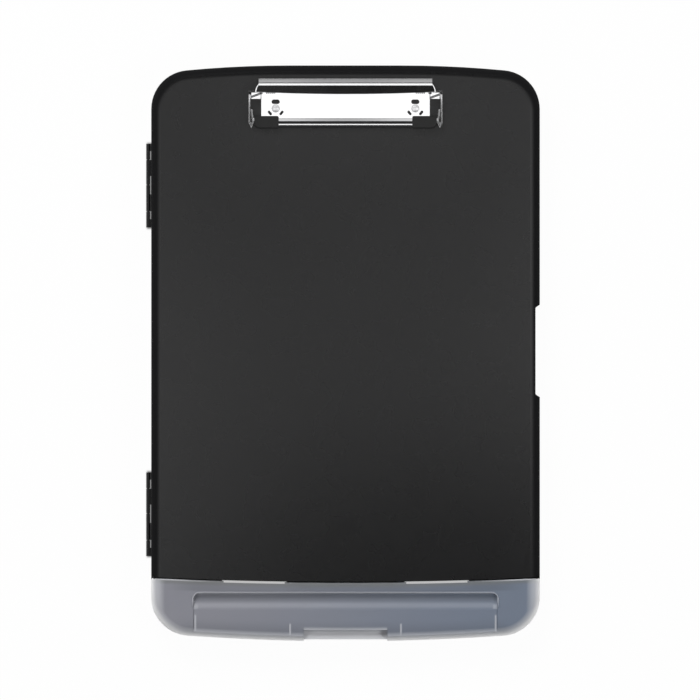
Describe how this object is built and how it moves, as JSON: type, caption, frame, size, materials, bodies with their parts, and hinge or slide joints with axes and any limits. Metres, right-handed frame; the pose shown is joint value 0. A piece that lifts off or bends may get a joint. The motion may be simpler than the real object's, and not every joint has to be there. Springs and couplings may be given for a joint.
{
  "type": "storage clipboard box",
  "caption": "Flat storage box with a hinged writing-board lid, a riveted spring clip and a hinged frosted lid over a pen compartment.",
  "frame": {"origin": "centre of the flat back face of the tray", "axes": "+X to the right, side hinges on the left; +Y along the length, towards the clip; +Z out of the back face's plane, towards the clip side"},
  "size_m": [0.2431, 0.3554, 0.0302],
  "materials": {
    "black_plastic": "fine matte moulded texture",
    "frosted_plastic": "translucent frosted",
    "black_pin": "black oxide",
    "plated_steel": "bright plating",
    "steel_pin": "bright drawn",
    "spring_steel": "drawn wire",
    "rivet_steel": "bright plating",
    "black_rubber": "matte"
  },
  "bodies": {
    "tray": {"base_tray": "black_plastic", "lid_hinge_pin_upper": "black_pin", "lid_hinge_pin_lower": "black_pin", "pen_hinge_pin_left": "steel_pin", "pen_hinge_pin_right": "steel_pin"},
    "board": {"clipboard_lid": "black_plastic", "clip_base_plate": "plated_steel", "clip_pivot_rod": "plated_steel", "clip_spring_left": "spring_steel", "clip_spring_right": "spring_steel", "clip_rivet_left": "rivet_steel", "clip_rivet_right": "rivet_steel", "rivet_washer_left": "rivet_steel", "rivet_washer_right": "rivet_steel"},
    "pen_cover": {"pen_lid": "frosted_plastic"},
    "jaw": {"clip_jaw": "plated_steel", "clip_grip_left": "black_rubber", "clip_grip_right": "black_rubber"}
  },
  "joints": [
    {"name": "board_hinge", "type": "hinge", "parent": "tray", "child": "board", "pos_m": [-0.12195, 0, 0.0125], "axis": [0, -1, 0], "range_deg": [0, 175]},
    {"name": "pen_cover_hinge", "type": "hinge", "parent": "tray", "child": "pen_cover", "pos_m": [0, -0.1473, 0.0184], "axis": [-1, 0, 0], "range_deg": [0, 100]},
    {"name": "clip_press", "type": "hinge", "parent": "board", "child": "jaw", "pos_m": [0, 0.162, 0.0249], "axis": [-1, 0, 0], "range_deg": [0, 38], "stiffness_Nm_per_rad": 0.3, "springref_deg": -34.38, "deforming": ["clip_spring_left", "clip_spring_right"]}
  ]
}
